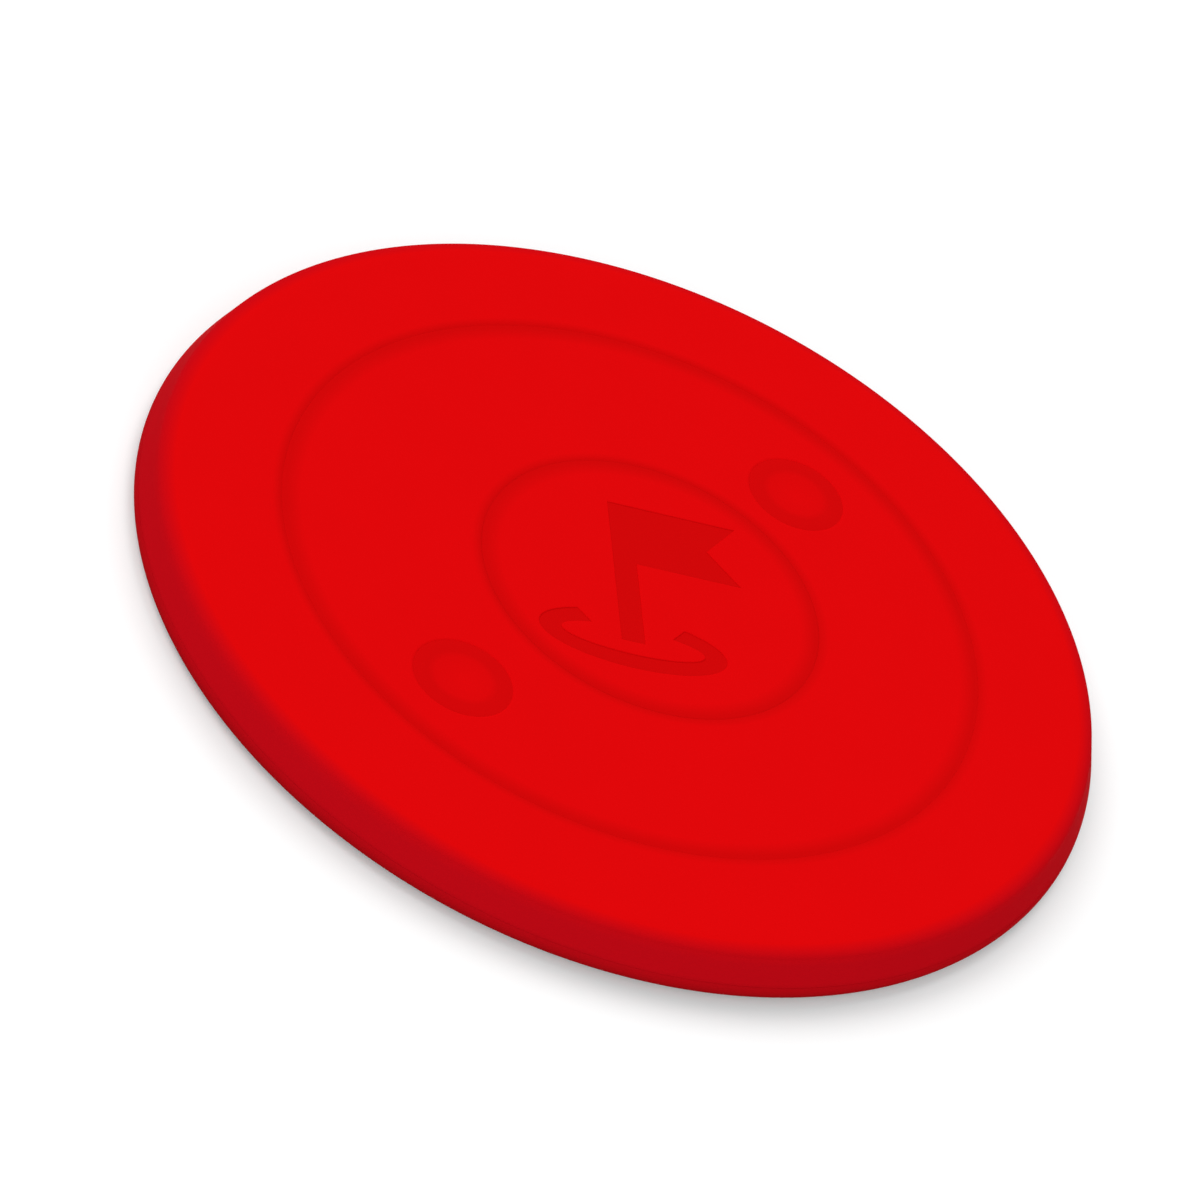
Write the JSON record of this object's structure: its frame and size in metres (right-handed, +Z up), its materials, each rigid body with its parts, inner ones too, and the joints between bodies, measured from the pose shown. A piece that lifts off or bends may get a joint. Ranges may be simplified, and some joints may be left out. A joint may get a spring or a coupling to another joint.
{
  "type": "golf ball marker",
  "caption": "Thin round disc with a drafted, rounded side wall, an inlaid face with a centre hub and a sunk flag emblem, dot-headed pins, and a magnet in the base.",
  "frame": {"origin": "centre of the disc, on the plane that the marker rests on", "axes": "+Z up out of the top face; +Y is the emblem's up; the two dots lie on the diagonal between +X and +Y"},
  "size_m": [0.04, 0.04, 0.0021],
  "materials": {
    "rim_red": "satin moulded red plastic",
    "inlay_red": "satin moulded red plastic, same batch colour as the rim",
    "base_red": "textured red plastic, slightly darker",
    "clear_film": "milky double-sided adhesive film",
    "nickel": "bright nickel plating",
    "zinc_plate": "zinc-plated steel"
  },
  "bodies": {
    "root": {"rim_shell": "rim_red", "face_inlay": "inlay_red", "inlay_adhesive": "clear_film", "centre_badge": "inlay_red", "magnet": "nickel", "magnet_adhesive": "clear_film", "ballast_ring": "zinc_plate", "back_cover": "base_red", "dot_pin_front": "inlay_red", "dot_pin_rear": "inlay_red"}
  },
  "joints": []
}
